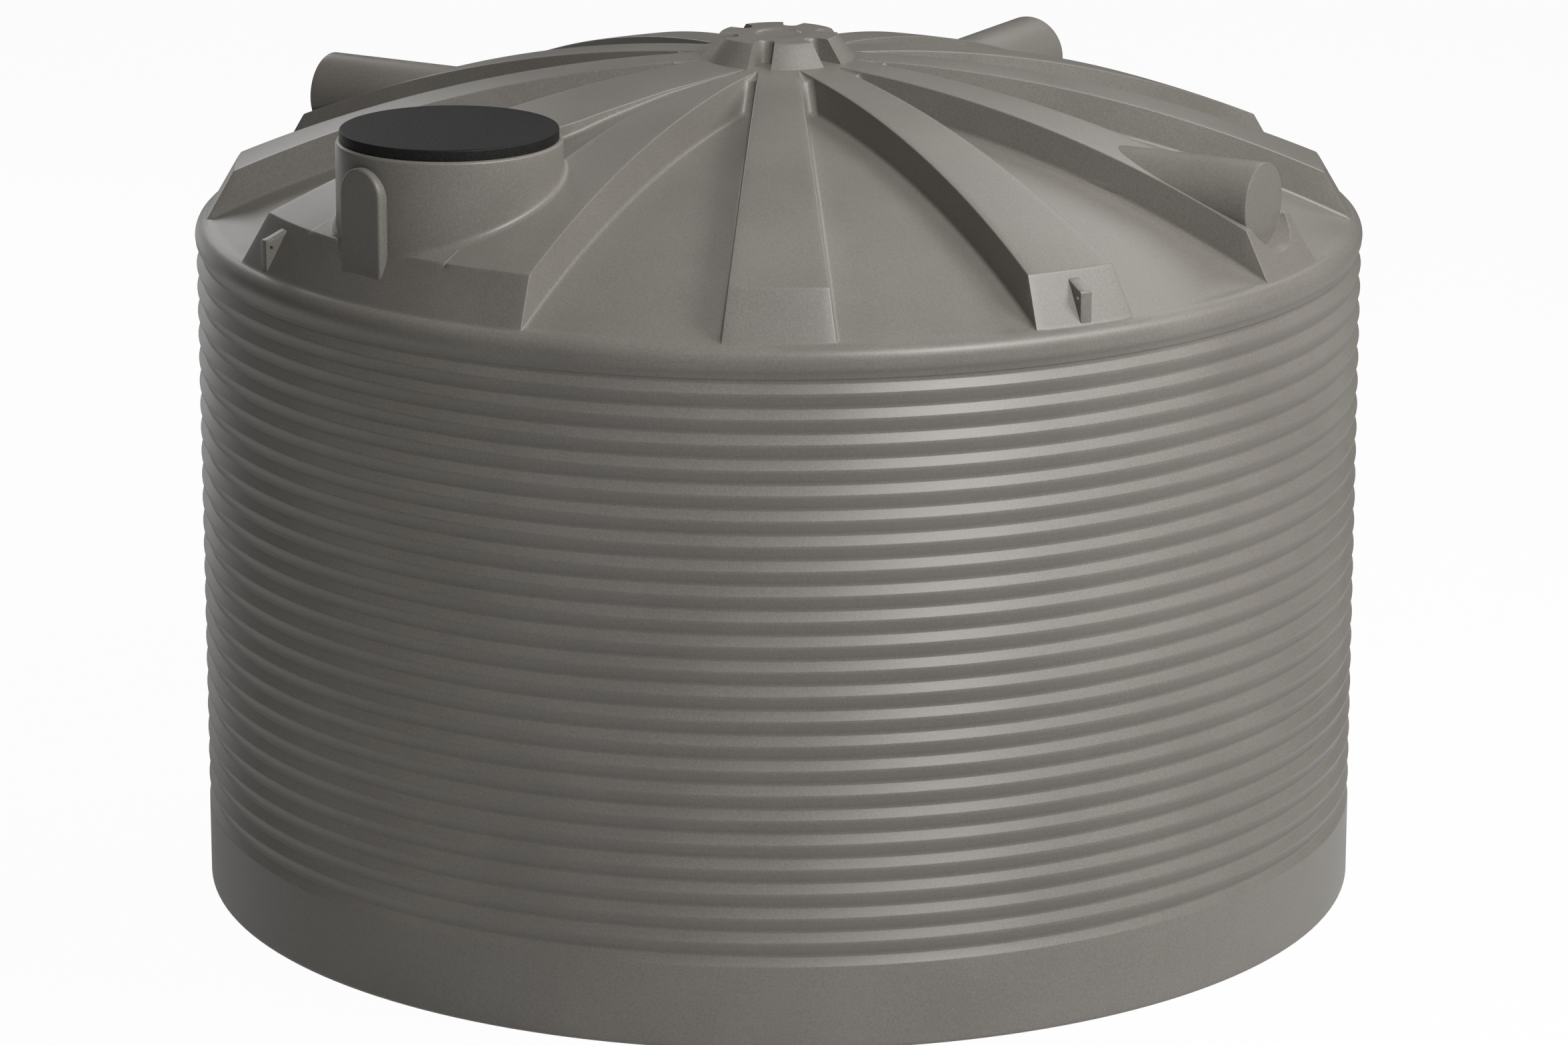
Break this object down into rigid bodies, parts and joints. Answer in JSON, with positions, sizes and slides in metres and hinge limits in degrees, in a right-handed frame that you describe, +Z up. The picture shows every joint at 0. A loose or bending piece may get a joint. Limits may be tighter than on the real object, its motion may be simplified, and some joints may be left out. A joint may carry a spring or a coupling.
{
  "type": "water tank",
  "caption": "Round corrugated-wall polyethylene water tank with a ribbed domed roof, side inlet stubs and a lift-off manhole lid.",
  "frame": {"origin": "centre of the tank's flat underside, on the floor it stands on", "axes": "+Z up along the tank's axis; -Y towards the front of the picture, +X to its right"},
  "size_m": [3.6056, 3.6056, 2.668],
  "materials": {
    "tank_plastic": "satin moulded polyethylene, warm grey",
    "lid_plastic": "fine-grained black plastic"
  },
  "bodies": {
    "tank": {"tank_floor": "tank_plastic", "wall_segment_01": "tank_plastic", "wall_segment_02": "tank_plastic", "wall_segment_03": "tank_plastic", "wall_segment_04": "tank_plastic", "wall_segment_05": "tank_plastic", "wall_segment_06": "tank_plastic", "wall_segment_07": "tank_plastic", "wall_segment_08": "tank_plastic", "wall_segment_09": "tank_plastic", "wall_segment_10": "tank_plastic", "wall_segment_11": "tank_plastic", "wall_segment_12": "tank_plastic", "roof_rib_01": "tank_plastic", "roof_rib_02": "tank_plastic", "roof_rib_03": "tank_plastic", "roof_rib_04": "tank_plastic", "roof_rib_05": "tank_plastic", "roof_rib_06": "tank_plastic", "roof_rib_07": "tank_plastic", "roof_rib_08": "tank_plastic", "roof_rib_09": "tank_plastic", "roof_rib_10": "tank_plastic", "roof_rib_11": "tank_plastic", "roof_rib_12": "tank_plastic", "roof_panel_01": "tank_plastic", "roof_panel_02": "tank_plastic", "roof_panel_03": "tank_plastic", "roof_panel_04": "tank_plastic", "roof_panel_05": "tank_plastic", "roof_panel_06": "tank_plastic", "roof_panel_07": "tank_plastic", "roof_panel_08": "tank_plastic", "roof_panel_09": "tank_plastic", "roof_panel_10": "tank_plastic", "roof_panel_11": "tank_plastic", "manhole_platform": "tank_plastic", "manhole_neck": "tank_plastic", "manhole_arch_pad": "tank_plastic", "roof_crown": "tank_plastic", "inlet_stub_1": "tank_plastic", "inlet_stub_2": "tank_plastic", "inlet_stub_3": "tank_plastic", "lifting_lugs": "tank_plastic"},
    "lid": {"manhole_lid": "lid_plastic"}
  },
  "joints": [
    {"name": "lid_lift", "type": "slide", "parent": "tank", "child": "lid", "axis": [0, 0, 1], "range_m": [0, 0.5]}
  ]
}
